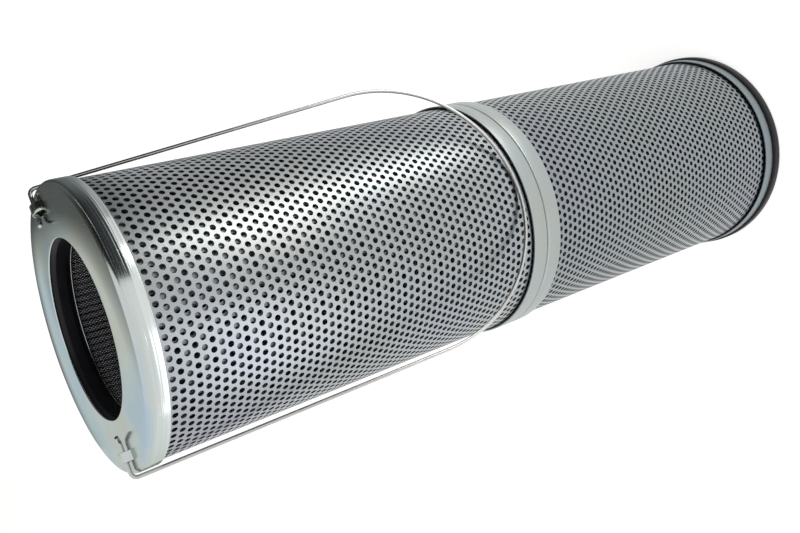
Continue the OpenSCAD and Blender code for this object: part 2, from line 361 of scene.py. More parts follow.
# the lower jacket's film is the upper jacket's made darker: painted shade
shadedLowerJacketZinc = zincPlate("shadedLowerPerforatedZincSheet", {
    **rolledSheet, "film": ("#8b8f90", "#8c9295", "#8b8f96")})
# the support tube's film is darker than the jacket's: painted shade for its place behind the jacket
shadedSupportZinc = zincPlate("shadedSupportZincSheet", {
    **rolledSheet, "film": ("#808281", "#848788", "#808388"), "rough": (0.45, 0.55), "anisotropy": 0.0})
sealRubber = mouldedRubber("nitrileRubber", {
    "colours": ("#111114", "#161619"), "size": 12 * mm, "noise": (3.0, 0.5),
    "grain": 0.35 * mm, "bump": 0.25, "depth": 0.1, "rough": (0.36, 0.46), "sheen": 0.22})
blackMesh = weaveWithPaintedCrowns("epoxyCoatedWireMeshPaintedCrowns", {
    "warpPitch": 1.45 * mm, "weftPitch": 2.1 * mm,  # the real weave is finer; drawn this coarse to show
    # the first colour is the black coat, the second, near white, the painted highlight on the crowns
    "crownFrom": -0.15, "crownTo": 0.9, "colours": ("#060607", "#cdced3"), "depth": 0.3, "rough": 0.3})
wireSteel = drawnWire("drawnSteelWire", {
    "colours": ("#b5b4b2", "#c4c3c1"), "size": 3 * mm, "noise": (3.0, 0.5), "rough": (0.2, 0.3)})
# cast adhesive: dark, slightly glossy, with a lumpy poured surface
resin = roughFill("castResin", {
    "colours": ("#2a2a2e", "#3a3a40"), "size": 4 * mm, "noise": (2.0, 0.5), "bump": 0.5,
    "depth": 0.1, "rough": 0.45})
# glass fibre medium: a matt off-white felt of fine crossing fibres
fibreMedium = roughFill("glassFibreMedium", {
    "colours": ("#d9d5c6", "#efece0"), "size": 0.6 * mm, "noise": (6.0, 0.7), "bump": 0.4,
    "depth": 0.3, "rough": 0.9})
print("materials made")


# Caps, seals and sleeve, turned shapes

caps = {
    "collarRadius": 46.0 * mm, "openingRadius": 44.5 * mm,
    "rimWidth": 10.6 * mm, "bottomRimWidth": 9.0 * mm,
    "topEdge": 2.5 * mm, "plainEdge": 1.2 * mm,
    "curl": 1.1 * mm, "curlHeight": 0.6 * mm,
    # radii of the small corners of the pressing
    "collarEnd": 0.4 * mm, "collarBend": 0.6 * mm, "openingEdge": 0.6 * mm, "openingUnder": 0.2 * mm,
    "curlRoot": 0.1 * mm, "curlIn": 0.3 * mm, "curlEnd": 0.25 * mm,
    "leastBend": 0.1 * mm, "rimIn": 0.3 * mm, "rimOut": 0.35 * mm,
    "topSegments": 192,
}
ears = {
    "at": 62.5 * mm, "width": 5 * mm, "half": 6.5 * mm,
    "height": boxOf["top_end_cap"][1].z - element["topFace"],
    "footDip": 0.04,  # radians that each foot runs on into the plate
    "slotHalf": 4.9 * mm, "slotDepth": 3 * mm,
    "sharp": 1.0, "ease": 0.22 * mm,  # edges that turn by more radians than this are eased
    "easeSteps": 3, "steps": 20,
}


def channelCap(plate, up, hole, rimWidth, edge):
    # outline of a channel cap: plate, drawn collar inside, rim outside; edges eased as pressed
    sheet = element["sheet"]
    outer = element["capRadius"]
    depth = element["collarDepth"]
    collar = caps["collarRadius"]
    inside = [(collar, -depth, caps["collarEnd"])]
    if hole < collar:
        curl = collar - caps["curl"]
        curlTop = caps["curlHeight"] - depth
        inside = [
            (hole, -sheet, caps["openingUnder"]), (collar, -sheet, caps["openingUnder"]),
            (collar, curlTop, caps["curlRoot"]), (curl, curlTop, caps["curlIn"]),
            (curl, -depth, caps["curlEnd"])]
    corners = inside + [
        (collar + sheet, -depth, caps["collarEnd"]), (collar + sheet, -sheet, caps["collarBend"]),
        (outer - sheet, -sheet, max(edge - sheet, caps["leastBend"])),
        (outer - sheet, -rimWidth, caps["rimIn"]), (outer, -rimWidth, caps["rimOut"]),
        (outer, 0, edge), (hole, 0, caps["openingEdge"])]
    if not up:
        corners = [(x, -y, r) for x, y, r in reversed(corners)]
    return roundCorners([(x, plate + y, r) for x, y, r in corners])


def earMesh(side):
    # a strip bent into an arch over the wire, standing on the plate
    top = ears["height"]
    radius = (ears["half"] ** 2 + top ** 2) / (2 * top)
    centre = element["topFace"] + top - radius
    reach = math.asin(ears["half"] / radius) + ears["footDip"]
    build = bmesh.new()
    rows = []
    for k in range(ears["steps"] + 1):
        angle = reach * (2 * k / ears["steps"] - 1)
        rows.append([
            build.verts.new((r * math.sin(angle), side * ears["at"] + y * ears["width"],
                             centre + r * math.cos(angle)))
            for r, y in ((radius, -0.5), (radius, 0.5), (radius - element["sheet"], 0.5),
                         (radius - element["sheet"], -0.5))])
    skinRings(build, rows)
    sharp = [e for e in build.edges if e.calc_face_angle(0) > ears["sharp"]]
    bmesh.ops.bevel(build, geom=sharp, offset=ears["ease"], segments=ears["easeSteps"],
                    affect="EDGES", profile=0.5)
    return meshFrom(build, "ear")


def topCapMesh():
    # the cap with its two slots cut, then both arches set on it
    outline = channelCap(element["topFace"], True, caps["openingRadius"], caps["rimWidth"],
                         caps["topEdge"])
    holder = newObject("capHolder", latheMesh("topCapBlank", outline, caps["topSegments"]))
    cutters = []
    for side in (-1, 1):
        build = bmesh.new()
        bmesh.ops.create_cube(build, size=1)
        bmesh.ops.scale(build, vec=(2 * ears["slotHalf"], ears["width"], ears["slotDepth"]),
                        verts=build.verts)
        bmesh.ops.translate(build, vec=(0, side * ears["at"], element["topFace"]), verts=build.verts)
        cutter = newObject("slotCutter", meshFrom(build, "slotCutter"))
        cutters.append(cutter)
        cut = holder.modifiers.new("slot", "BOOLEAN")
        cut.operation = "DIFFERENCE"
        cut.object = cutter
        cut.solver = "EXACT"
    mesh = evaluatedMesh(holder, "topCap")
    for cutter in cutters:
        bpy.data.objects.remove(cutter)
    whole = bmesh.new()
    whole.from_mesh(mesh)
    for side in (-1, 1):
        whole.from_mesh(earMesh(side))
    whole.to_mesh(mesh)
    whole.free()
    smoothMesh(mesh)
    return mesh


newPiece("top_cap_pressing", topCapMesh(), capZinc, "element", ["top_end_cap"])
for name, up, node in (("upper_joint_pressing", False, "upper_joint_cap"),
                       ("lower_joint_pressing", True, "lower_joint_cap")):
    outline = channelCap(element["jointLine"], up, caps["collarRadius"], caps["rimWidth"],
                         caps["plainEdge"])
    newPiece(name, latheMesh(name, outline), bandZinc, "element", [node])
outline = channelCap(element["standFace"], False, caps["openingRadius"], caps["bottomRimWidth"],
                     caps["plainEdge"])
newPiece("bottom_cap_pressing", latheMesh("bottomCap", outline), shadedBottomZinc, "element",
         ["bottom_end_cap"])
print("caps made")

seals = {
    "boreInner": 44.0 * mm, "boreBack": 45.15 * mm, "boreSlope": 2.425 * mm,
    "boreWallEase": 0.15 * mm, "boreBackEase": 0.3 * mm, "boreInnerEase": 1.5 * mm,
    "ringInner": 60.0 * mm, "ringEdge": 1.5 * mm, "ringFootEase": 0.4 * mm, "ringTopEase": 0.2 * mm,
    "sleeveEase": 0.3 * mm, "sleeveArcSteps": 3,
}


def boreSeal():
    low, high = boxOf["top_bore_seal"]
    back, inner, slope = seals["boreBack"], seals["boreInner"], seals["boreSlope"]
    wallEase, backEase, innerEase = seals["boreWallEase"], seals["boreBackEase"], seals["boreInnerEase"]
    return roundCorners([
        (high.x, low.z, wallEase), (high.x, high.z, wallEase), (back, high.z, backEase),
        (inner, high.z - slope, innerEase), (inner, low.z + slope, innerEase), (back, low.z, backEase)])


def sealRing():
    low, high = boxOf["bottom_seal_ring"]
    inner, edge = seals["ringInner"], seals["ringEdge"]
    return roundCorners([
        (inner, low.z, seals["ringFootEase"]), (high.x, low.z, edge), (high.x, high.z, edge),
        (inner, high.z, seals["ringTopEase"])])


def joiningSleeve():
    low, high = boxOf["joint_sleeve"]
    inner, ease = high.x - element["sheet"], seals["sleeveEase"]
    return roundCorners([(inner, low.z, ease), (high.x, low.z, ease), (high.x, high.z, ease),
                         (inner, high.z, ease)], seals["sleeveArcSteps"])


newPiece("bore_seal", latheMesh("boreSeal", boreSeal()), sealRubber, "element",
         ["top_bore_seal"])
newPiece("seal_ring", latheMesh("sealRing", sealRing()), sealRubber, "element",
         ["bottom_seal_ring"])
newPiece("joining_sleeve", latheMesh("joiningSleeve", joiningSleeve()), bandZinc, "element",
         ["joint_sleeve"])
print("seals and sleeve made")


# Perforated sheets: one flat cell of sheet with its hole, repeated and rolled up by nodes

sheets = {
    "ringSpacing": 4.03 * mm, "holeRadius": 1.5 * mm,
    "turn": 95.1,  # degrees from +Y towards +X to a hole of the top ring
    "mergeWithin": 0.01 * mm,
    "lipShare": 0.25,  # a lip is marked 1 or -1, the other faces 0
    "marginEdge": 0.499,  # of a ring's spacing; what lies further out is the strip's end
    "sheetFacing": 0.9,  # a face is the sheet's own when its normal points this much out or in
}
upperTop = element["topFace"] - 13.2 * mm  # middle of the highest ring of holes
lowerTop = element["topFace"] - 253.4 * mm
# the stagger is in hole pitches, from one ring to the next; parts are the rings in each piece
jacket = {"radius": element["jacketRadius"], "thickness": 0.8 * mm, "holesRound": 92, "stagger": 0.5}
support = {"radius": element["supportRadius"], "thickness": 0.8 * mm, "holesRound": 84, "stagger": 0.0,
           "material": shadedSupportZinc}
tubes = {
    "upper_jacket": {**jacket, "node": "upper_outer_jacket", "top": upperTop, "parts": (28, 27),
                     "sides": 12, "material": jacketZinc},
    "lower_jacket": {**jacket, "node": "lower_outer_jacket", "top": lowerTop, "parts": (28, 26),
                     "sides": 9, "material": shadedLowerJacketZinc},
    "upper_support": {**support, "node": "upper_support_tube", "top": upperTop, "parts": (28, 27),
                      "sides": 7},
    "lower_support": {**support, "node": "lower_support_tube", "top": lowerTop, "parts": (54,),
                      "sides": 6},
}


def byAngle(point):
    return math.atan2(point[1], point[0])


def cellMesh(pitch, tube):
    # x along the circumference, y along the axis, z inwards; the lips close the first and last ring
    spacing, radius, sides = sheets["ringSpacing"], sheets["holeRadius"], tube["sides"]
    build = bmesh.new()
    lip = build.faces.layers.float.new("lip")
    edge = [(0.5, -0.5), (0.5, 0.5), (-0.5, 0.5), (-0.5, -0.5)]
    if tube["stagger"] > 0:
        edge += [(0, 0.5), (0, -0.5)]  # the corners of the rings above and below
    edge = sorted([(x * pitch, y * spacing) for x, y in edge], key=byAngle)
    hole = sorted([(radius * math.cos(2 * math.pi * k / sides), radius * math.sin(2 * math.pi * k / sides))
                   for k in range(sides)], key=byAngle)
    layers = []
    for z in (0, tube["thickness"]):
        layers.append(([build.verts.new((x, y, z)) for x, y in edge],
                       [build.verts.new((x, y, z)) for x, y in hole]))
    for (outer, inner), front in zip(layers, (True, False)):
        # triangles between edge and hole, always on to whichever corner comes next
        i = j = 0
        while i < len(outer) or j < len(inner):
            nextOuter = byAngle(edge[(i + 1) % len(edge)]) + 2 * math.pi * ((i + 1) // len(edge))
            nextInner = byAngle(hole[(j + 1) % len(hole)]) + 2 * math.pi * ((j + 1) // len(hole))
            a, b = outer[i % len(outer)], inner[j % len(inner)]
            if j >= len(inner) or (i < len(outer) and nextOuter <= nextInner):
                i += 1
                corners = (a, outer[i % len(outer)], b)
            else:
                j += 1
                corners = (a, inner[j % len(inner)], b)
            build.faces.new(corners[::-1] if front else corners)
    (outFront, inFront), (outBack, inBack) = layers
    for k in range(sides):
        n = (k + 1) % sides
        build.faces.new((inFront[k], inBack[k], inBack[n], inFront[n]))
    for k in range(len(edge)):
        n = (k + 1) % len(edge)
        if edge[k][1] == edge[n][1]:
            face = build.faces.new((outFront[k], outFront[n], outBack[n], outBack[k]))
            face[lip] = math.copysign(1, edge[k][1])
    return meshFrom(build, "sheetCell")


def perforatedTree():
    # repeats the cell ring by ring, drops the lips between rings, stretches the two plain margins
    # and rolls the flat strip into a tube about Z
    tree = bpy.data.node_groups.new("perforatedTube", "GeometryNodeTree")
    sockets = [("Geometry", "Geometry"), ("Radius", "Float"), ("Holes round", "Int"), ("Rings", "Int"),
               ("Ring spacing", "Float"), ("First ring", "Float"), ("Turn", "Float"),
               ("Low margin", "Float"), ("High margin", "Float"), ("Stagger", "Float"),
               ("Material", "Material")]
    for name, kind in sockets:
        tree.interface.new_socket(name, in_out="INPUT", socket_type="NodeSocket" + kind)
    tree.interface.new_socket("Geometry", in_out="OUTPUT", socket_type="NodeSocketGeometry")
    given = addNode(tree, "NodeGroupInput").outputs
    known = {name: given[name] for name, _ in sockets}
    known["index"] = addNode(tree, "GeometryNodeInputIndex")
    for name in ("lip", "ring"):
        known[name + " mark"] = addNode(tree, "GeometryNodeInputNamedAttribute", {"Name": name},
                                        data_type="FLOAT")
    flat = addNode(tree, "ShaderNodeSeparateXYZ", {0: addNode(tree, "GeometryNodeInputPosition")}).outputs
    known.update({"flat x": flat["X"], "flat y": flat["Y"], "flat z": flat["Z"]})
    addChain(tree, known, "ShaderNodeMath", (
        # the place of each cell on the flat strip
        ("laps", "DIVIDE", "index", "Holes round"),
        ("ring", "FLOOR", "laps"),
        ("passed", "MULTIPLY", "ring", "Holes round"),
        ("column", "SUBTRACT", "index", "passed"),
        ("odd", "MODULO", "ring", 2.0),
        ("shift", "MULTIPLY", "odd", "Stagger"),
        ("shifted", "ADD", "column", "shift"),
        ("girth", "MULTIPLY", "Radius", 2 * math.pi),
        ("pitch", "DIVIDE", "girth", "Holes round"),
        ("cell x", "MULTIPLY", "shifted", "pitch"),
        ("cell y", "MULTIPLY", "ring", "Ring spacing"),
        ("count", "MULTIPLY", "Holes round", "Rings"),
        # lips between two rings, which are dropped
        ("last ring", "SUBTRACT", "Rings", 1.0),
        ("above", "SUBTRACT", "last ring", "ring mark"),
        ("high lip", "MULTIPLY", "lip mark", "above"),
        ("below", "MULTIPLY", "lip mark", "ring mark"),
        ("low lip", "MULTIPLY", "below", -1.0),
        ("between", "MAXIMUM", "high lip", "low lip"),
        ("dropped", "GREATER_THAN", "between", sheets["lipShare"]),
        # height, with the margins added at both ends of the strip
        ("rings to edge", "SUBTRACT", "Rings", 1 - sheets["marginEdge"]),
        ("high edge", "MULTIPLY", "rings to edge", "Ring spacing"),
        ("low edge", "MULTIPLY", "Ring spacing", -sheets["marginEdge"]),
        ("at high end", "GREATER_THAN", "flat y", "high edge"),
        ("at low end", "LESS_THAN", "flat y", "low edge"),
        ("raise", "MULTIPLY", "at high end", "High margin"),
        ("lower", "MULTIPLY", "at low end", "Low margin"),
        ("stretch", "SUBTRACT", "raise", "lower"),
        ("lifted", "ADD", "flat y", "First ring"),
        ("height", "ADD", "lifted", "stretch"),
        # rolled up
        ("bend", "DIVIDE", "flat x", "Radius"),
        ("angle", "ADD", "bend", "Turn"),
        ("depth", "SUBTRACT", "Radius", "flat z"),
        ("sine", "SINE", "angle"),
        ("cosine", "COSINE", "angle"),
        ("x", "MULTIPLY", "depth", "sine"),
        ("y", "MULTIPLY", "depth", "cosine")))
    spot = addNode(tree, "ShaderNodeCombineXYZ", {"X": known["cell x"], "Y": known["cell y"]})
    points = addNode(tree, "GeometryNodePoints", {"Count": known["count"], "Position": spot})
    marked = addNode(tree, "GeometryNodeStoreNamedAttribute",
                     {"Geometry": points, "Name": "ring", "Value": known["ring"]},
                     data_type="FLOAT", domain="POINT")
    copies = addNode(tree, "GeometryNodeInstanceOnPoints", {"Points": marked, "Instance": given["Geometry"]})
    solid = addNode(tree, "GeometryNodeRealizeInstances", {0: copies})
    opened = addNode(tree, "GeometryNodeDeleteGeometry",
                     {"Geometry": solid, "Selection": known["dropped"]}, domain="FACE", mode="ALL")
    place = addNode(tree, "ShaderNodeCombineXYZ", {"X": known["x"], "Y": known["y"], "Z": known["height"]})
    rolled = addNode(tree, "GeometryNodeSetPosition", {"Geometry": opened, "Position": place})
    joined = addNode(tree, "GeometryNodeMergeByDistance", {"Geometry": rolled,
                                                           "Distance": sheets["mergeWithin"]})
    done = addNode(tree, "GeometryNodeSetMaterial", {"Geometry": joined, "Material": given["Material"]})
    addNode(tree, "NodeGroupOutput", {"Geometry": done})
    return tree


def setTubeNormals(mesh):
    # true round normals on the sheet faces; hole walls and end lips stay flat
    loops = len(mesh.loops)
    normals = np.zeros(loops * 3, np.float32)
    mesh.corner_normals.foreach_get("vector", normals)
    normals = normals.reshape(-1, 3)
    places = np.zeros(len(mesh.vertices) * 3, np.float32)
    mesh.vertices.foreach_get("co", places)
    corner = np.zeros(loops, np.int32)
    mesh.loops.foreach_get("vertex_index", corner)
    outwards = places.reshape(-1, 3)[corner] * (1, 1, 0)
    outwards /= np.linalg.norm(outwards, axis=1)[:, None]
    along = (normals * outwards).sum(1)
    sheetFace = np.abs(along) > sheets["sheetFacing"]
    normals[sheetFace] = outwards[sheetFace] * np.sign(along[sheetFace])[:, None]
    mesh.polygons.foreach_set("use_smooth", [True] * len(mesh.polygons))
    mesh.normals_split_custom_set(normals)


def perforatedTube(name, tube, tree):
    # in pieces, from the top down; the first and the last take the plain margins
    spacing, parts = sheets["ringSpacing"], tube["parts"]
    low, high = boxOf[tube["node"]]
    pitch = 2 * math.pi * tube["radius"] / tube["holesRound"]
    done = 0
    for part, count in enumerate(parts, 1):
        lowest = tube["top"] - (done + count - 1) * spacing
        # the tree counts from the lowest ring, the stagger runs from the top one
        odd = (done + count - 1) % 2
        values = {
            "Radius": tube["radius"], "Holes round": tube["holesRound"], "Rings": count,
            "Ring spacing": spacing, "First ring": lowest,
            "Turn": math.radians(sheets["turn"]) + odd * tube["stagger"] * pitch / tube["radius"],
            "Low margin": lowest - spacing / 2 - low.z if part == len(parts) else 0,
            "High margin": high.z - (tube["top"] + spacing / 2) if part == 1 else 0,
            "Stagger": tube["stagger"], "Material": tube["material"]}
        holder = newObject("sheetHolder", cellMesh(pitch, tube))
        modifier = holder.modifiers.new("perforate", "NODES")
        modifier.node_group = tree
        for item in tree.interface.items_tree:
            if item.in_out == "INPUT" and item.name in values:
                modifier[item.identifier] = values[item.name]
        mesh = evaluatedMesh(holder, f"{name}_{part}")
        setTubeNormals(mesh)
        newPiece(f"{name}_{part}", mesh, tube["material"], "element", [tube["node"]])
        print(name, part, "has", sum(len(p.vertices) - 2 for p in mesh.polygons), "triangles")
        done += count


tubeTree = perforatedTree()
for name, tube in tubes.items():
    perforatedTube(name, tube, tubeTree)
print("perforated tubes made")


# Pleated pack: the coated mesh that lines the bore

pack = {
    "pleats": 88, "foldIn": 0.75 * mm, "foldOut": 0.9 * mm,
    "half": 0.6 * mm, "mesh": 0.25 * mm,  # half of the pack's thickness, and one layer of mesh
    "collarGap": 0.05 * mm, "foldEase": 0.7, "foldSteps": 3, "sharpAngle": 50,
}


def pleatOutline(offset):
    # one face of a pleated layer, the distance offset outside the middle of the pack
    outRadius = boxOf["upper_outer_mesh"][1].x - pack["half"]
    inRadius = caps["collarRadius"] + pack["collarGap"] + pack["half"]
    outHalf = pack["foldOut"] + offset
    inHalf = pack["foldIn"] - offset
    corners = []
    for k in range(pack["pleats"]):
        peak = 2 * math.pi * k / pack["pleats"]
        valley = peak + math.pi / pack["pleats"]
        for middle, fold, across in ((peak, outRadius, -outHalf), (peak, outRadius, outHalf),
                                     (valley, inRadius, -inHalf), (valley, inRadius, inHalf)):
            radius = fold + offset
            angle = middle + math.asin(across / radius)
            corners.append((radius * math.cos(angle), radius * math.sin(angle),
                            pack["foldEase"] * abs(across)))
    return roundCorners(corners, pack["foldSteps"])


def pleatedMesh(node):
    # the layer of mesh nearest the bore, as a closed ribbon with UVs in metres along the cloth
    low, high = boxOf[node]
    outlines = [pleatOutline(-pack["half"]), pleatOutline(pack["mesh"] - pack["half"])]
    count = len(outlines[0])
    build = bmesh.new()
    uvs = build.loops.layers.uv.new("cloth")
    rings = [[build.verts.new((p.x, p.y, z)) for p in outline]
             for outline in outlines for z in (low.z, high.z)]
    along = [0.0]
    for k in range(count):
        along.append(along[-1] + (outlines[0][(k + 1) % count] - outlines[0][k]).length)
    # rings 0 and 1 bound the inner face, 2 and 3 the outer one, then come the top and the bottom
    for a, b, flip in ((0, 1, True), (2, 3, False), (1, 3, True), (2, 0, True)):
        for k in range(count):
            n = (k + 1) % count
            corners = [(a, k, along[k]), (a, n, along[k + 1]), (b, n, along[k + 1]), (b, k, along[k])]
            if flip:
                corners.reverse()
            face = build.faces.new([rings[r][i] for r, i, _ in corners])
            for loop, (r, _, u) in zip(face.loops, corners):
                loop[uvs].uv = (u, high.z if r in (1, 3) else low.z)
    mesh = meshFrom(build, node)
    smoothMesh(mesh, pack["sharpAngle"])
    return mesh


for node, name in (("upper_inner_mesh", "upper_bore_mesh"), ("lower_inner_mesh", "lower_bore_mesh")):
    newPiece(name, pleatedMesh(node), blackMesh, "element", [node])
print("pleats made")


# Bail: one length of wire through the two ears

bail = {
    "wire": 1.0 * mm,  # radius
    "cornerRadius": 3 * mm, "tipRadius": 3 * mm, "tipBend": 60, "tipEnd": 3.2 * mm, "tipRise": 22.5,
    "restGap": 0.3 * mm, "arcSteps": 64, "bendSteps": 8, "sides": 20,
    "endEase": 0.25, "endStep": 0.3,  # ease of the cut ends over the radius, and its first step
    "sharpAngle": 50,
}


def bailPath():
    # from one tip through its ear, down the leg and round to the middle of the bow, then mirrored
    low, high = boxOf["bail_handle"]
    hinge = Vector(frame["joints"][0]["pos_m"])
    radius = bail["wire"]
    legY = high.y - radius
    out = element["jacketRadius"] + bail["restGap"] + radius
    drop = hinge.z - low.z - radius
    down = Vector((out, 0, -drop))
    reach = down.length
    down.normalize()
    rise = math.radians(bail["tipRise"])
    tipOut = Vector((math.cos(rise), 0, math.sin(rise)))
    across = Vector((0, 1, 0))
    corner, tip = bail["cornerRadius"], bail["tipRadius"]
    tipY = ears["at"] - ears["width"] / 2 - tip
    bend = math.radians(bail["tipBend"])
    tipDirection = -across * math.cos(bend) + tipOut * math.sin(bend)
    half = []
    for k in range(bail["bendSteps"] + 1):
        t = bend * (1 - k / bail["bendSteps"])
        half.append(hinge + across * (tipY - tip * math.sin(t)) + tipOut * tip * (1 - math.cos(t)))
    half.insert(0, half[0] + tipDirection * bail["tipEnd"])
    for k in range(bail["bendSteps"] + 1):
        t = math.pi / 2 * (1 - k / bail["bendSteps"])
        half.append(hinge + across * (legY - corner + corner * math.cos(t))
                    + down * corner * (1 - math.sin(t)))
    bow = hinge + down * (reach - legY)
    for k in range(bail["arcSteps"] // 2 + 1):
        t = math.pi / 2 * k / (bail["arcSteps"] // 2)
        half.append(bow + across * legY * math.cos(t) + down * legY * math.sin(t))
    return half + [Vector((p.x, -p.y, p.z)) for p in half[-2::-1]]


def wireMesh(name, path):
    # a round wire along the path, its frame carried without twist, its ends eased
    radius, sides = bail["wire"], bail["sides"]
    steps = [(b - a).normalized() for a, b in zip(path, path[1:])]
    tangents = [steps[0]] + [(a + b).normalized() for a, b in zip(steps, steps[1:])] + [steps[-1]]
    normal = tangents[0].orthogonal().normalized()
    ease = bail["endEase"] * radius
    first = bail["endStep"] * ease
    build = bmesh.new()
    rings = []
    for i, (point, tangent) in enumerate(zip(path, tangents)):
        normal = (normal - tangent * normal.dot(tangent)).normalized()
        side = tangent.cross(normal)
        stations = [(0.0, radius)]
        if i == 0:
            stations = [(0.0, radius - ease), (first, radius - first), (ease, radius)]
        if i == len(path) - 1:
            stations = [(-ease, radius), (-first, radius - first), (0.0, radius - ease)]
        for shift, size in stations:
            rings.append([build.verts.new(point + tangent * shift + size * (
                normal * math.cos(2 * math.pi * k / sides) + side * math.sin(2 * math.pi * k / sides)))
                for k in range(sides)])
    skinRings(build, rings)
    mesh = meshFrom(build, name)
    smoothMesh(mesh, bail["sharpAngle"])
    return mesh


newPiece("bail_wire", wireMesh("bailWire", bailPath()), wireSteel, "bail", ["bail_handle"])
print("bail made")


# The CAD nodes that stay keep their shape and get their finish

kept = {
    "top_potting": resin, "upper_joint_potting": resin, "lower_joint_potting": resin,
    "bottom_potting": resin,
    "upper_media": fibreMedium, "lower_media": fibreMedium,
    "upper_outer_mesh": blackMesh, "lower_outer_mesh": blackMesh,
}
for node, material in kept.items():
    mesh = frame["nodes"][node].data
    mesh.materials.clear()
    mesh.materials.append(material)
print("kept nodes finished")


# Floor, a glowing card for painted reflections, light and camera; sizes in metres, angles in degrees round
# from +X

stage = {"floor": "#dededc", "floorHalf": 9.0, "floorLift": 0.55, "skyLight": 0.6}
card = {
    "radius": 0.38, "from": 14, "to": 186, "steps": 43, "foot": 0.002, "top": 0.75, "roofEdge": 0.11,
    # under its front part, up to this angle, the card stops above the floor
    "raisedTo": 72, "raisedOver": 8, "raisedBy": 0.365,
    # brightness of the card by height, the greys of the painted reflection
    "shades": ((0.0, 0.9), (0.33, 0.85), (0.355, 0.6), (0.375, 0.3), (0.41, 0.2), (0.5, 0.1),
               (0.55, 0.2), (0.66, 0.18), (0.75, 0.08)),
    # above this height it grows to white past this angle, more slowly from a second height on
    "fadeAbove": 0.5, "fadeGate": 0.04, "fadeFrom": 153, "fadeOver": 8, "slowAbove": 0.56, "slowBy": 200,
    # what the cap's rim mirrors: above this height, darker by this factor before these angles
    "dimAbove": 0.36, "dimGate": 0.02, "dimFrom": 78, "dimTo": 108, "dimFactor": 0.3,
    # colour of the painted reflection: bluish where the card is dark, near white where it is light
    "tints": ("#e4ebf1", "#fdfdfd"), "tintBy": 1.6,
}


def seenRay(tree):
    # 1 for what the camera sees, directly, in metal or through glass
    path = addNode(tree, "ShaderNodeLightPath").outputs
    seen = addNode(tree, "ShaderNodeMath", {0: path["Is Camera Ray"], 1: path["Is Glossy Ray"]},
                   operation="MAXIMUM")
    return addNode(tree, "ShaderNodeMath", {0: seen, 1: path["Is Transmission Ray"]}, operation="MAXIMUM")


def newStage(name, verts, faces, material):
    mesh = bpy.data.meshes.new(name)
    mesh.from_pydata(verts, [], faces)
    mesh.materials.append(material)
    thing = newObject(name, mesh)
    return thing


def whiteFloor():
    # pale matt paint; what the camera and mirrors see of it is lifted to white, its shadow stays
    material, tree = newMaterial("floorPaint")
    lift = addNode(tree, "ShaderNodeMath", {0: seenRay(tree), 1: stage["floorLift"]}, operation="MULTIPLY")
    paint = addNode(tree, "ShaderNodeBsdfDiffuse", {"Color": linearColour(stage["floor"])})
    glow = addNode(tree, "ShaderNodeEmission", {"Color": (1, 1, 1, 1), "Strength": lift})
    endMaterial(tree, addNode(tree, "ShaderNodeAddShader", {0: paint, 1: glow}))
    half = stage["floorHalf"]
    newStage("floor", [(-half, -half, 0), (half, -half, 0), (half, half, 0), (-half, half, 0)],
             [(0, 1, 2, 3)], material)


def paintedReflectionGlow():
    # painted reflection: greys that change with height and angle, glowing by themselves, for the dark and
    # light bands that the cap and jackets mirror
    material, tree = newMaterial("paintedReflectionCard")
    place = addNode(tree, "ShaderNodeSeparateXYZ",
                    {0: addNode(tree, "ShaderNodeTexCoord").outputs["Object"]}).outputs
    shade = addNode(tree, "ShaderNodeFloatCurve", {"Value": place["Z"]})
    curve = shade.mapping.curves[0]
    curve.points[0].location = card["shades"][0]
    curve.points[1].location = (1, card["shades"][-1][1])
    for spot in card["shades"][1:]:
        curve.points.new(*spot)
    for point in curve.points:
        point.handle_type = "VECTOR"
    shade.mapping.update()
    known = {"x": place["X"], "y": place["Y"], "height": place["Z"]}
    for name, low, gate in (("fade gate", "fadeAbove", "fadeGate"), ("dim gate", "dimAbove", "dimGate")):
        known[name] = addNode(tree, "ShaderNodeMapRange", {
            0: place["Z"], 1: card[low], 2: card[low] + card[gate], 3: 0.0, 4: 1.0})
    addChain(tree, known, "ShaderNodeMath", (
        # the angle round from +X, 0 to 360 degrees
        ("mirrored x", "MULTIPLY", "x", -1.0),
        ("back angle", "ARCTAN2", "y", "mirrored x"),
        ("angle", "SUBTRACT", math.pi, "back angle"),
        # from 0 to 1 as the card grows to white
        ("risen", "SUBTRACT", "height", card["slowAbove"]),
        ("rise", "MAXIMUM", "risen", 0.0),
        ("slower", "MULTIPLY", "rise", math.radians(card["slowBy"])),
        ("over", "ADD", math.radians(card["fadeOver"]), "slower"),
        ("past", "SUBTRACT", "angle", math.radians(card["fadeFrom"])),
        ("grown", "DIVIDE", "past", "over"),
        ("begun", "MAXIMUM", "grown", 0.0),
        ("fade", "MINIMUM", "begun", 1.0),
        ("white", "MULTIPLY", "fade", "fade gate")))
    side = addNode(tree, "ShaderNodeMapRange", {
        0: known["angle"], 1: math.radians(card["dimFrom"]), 2: math.radians(card["dimTo"]),
        3: card["dimFactor"], 4: 1.0})
    dim = addNode(tree, "ShaderNodeMix", {0: known["dim gate"], 2: 1.0, 3: side})
    dimmed = addNode(tree, "ShaderNodeMath", {0: shade, 1: dim}, operation="MULTIPLY")
    whole = addNode(tree, "ShaderNodeMix", {0: known["white"], 2: dimmed, 3: 1.0})
    warmth = addNode(tree, "ShaderNodeMath", {0: whole, 1: card["tintBy"]}, operation="MULTIPLY")
    tint = addNode(tree, "ShaderNodeMix", {0: warmth, 6: linearColour(card["tints"][0]),
                                           7: linearColour(card["tints"][1])}, data_type="RGBA")
    endMaterial(tree, addNode(tree, "ShaderNodeEmission", {"Color": tint.outputs[2], "Strength": whole}))
    return material


